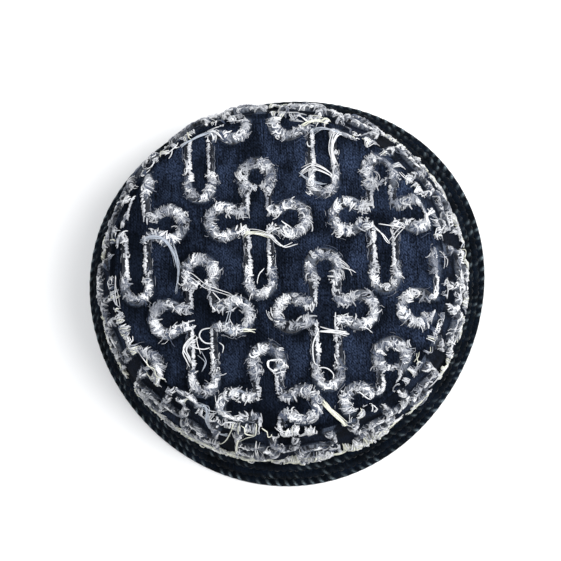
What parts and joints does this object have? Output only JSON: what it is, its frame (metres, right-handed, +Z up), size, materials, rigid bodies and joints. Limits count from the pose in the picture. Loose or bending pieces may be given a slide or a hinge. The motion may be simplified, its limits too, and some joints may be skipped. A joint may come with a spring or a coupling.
{
  "type": "denim beanie",
  "caption": "Round brimless denim hat with a domed tip, a tapered side and a stitched flared band, worked all over with crosses whose raw edges are frayed.",
  "frame": {"origin": "middle of the hat on the surface that its rim rests on", "axes": "+Z up through the middle of the tip, +Y towards the heads of the tip's crosses, +X to their right"},
  "size_m": [0.2002, 0.1954, 0.0898],
  "materials": {
    "denim": "dark indigo twill denim, washed, slightly faded on raised places",
    "band": "dark indigo denim, layers sewn in rows and puckered",
    "fringe": "frayed cotton yarn, white to blue-grey"
  },
  "bodies": {
    "root": {"crown_side": "denim", "crown_tip": "denim", "rim_band": "band", "side_foot_fringe_01": "fringe", "side_foot_fringe_02": "fringe", "side_foot_fringe_03": "fringe", "side_foot_fringe_04": "fringe", "side_foot_fringe_05": "fringe", "side_foot_fringe_06": "fringe", "side_foot_fringe_07": "fringe", "side_foot_fringe_08": "fringe", "side_foot_fringe_09": "fringe", "side_fringe_01": "fringe", "side_fringe_02": "fringe", "side_fringe_03": "fringe", "side_fringe_04": "fringe", "side_fringe_05": "fringe", "side_fringe_06": "fringe", "side_fringe_07": "fringe", "side_fringe_08": "fringe", "side_fringe_09": "fringe", "side_fringe_10": "fringe", "side_fringe_11": "fringe", "side_fringe_12": "fringe", "side_fringe_13": "fringe", "side_fringe_14": "fringe", "side_fringe_15": "fringe", "side_fringe_16": "fringe", "side_fringe_17": "fringe", "side_fringe_18": "fringe", "tip_fringe_01": "fringe", "tip_fringe_02": "fringe", "tip_fringe_03": "fringe", "tip_fringe_04": "fringe", "tip_fringe_05": "fringe", "tip_fringe_06": "fringe", "tip_fringe_07": "fringe", "tip_fringe_08": "fringe", "tip_fringe_09": "fringe", "tip_fringe_10": "fringe", "tip_fringe_11": "fringe"}
  },
  "joints": []
}
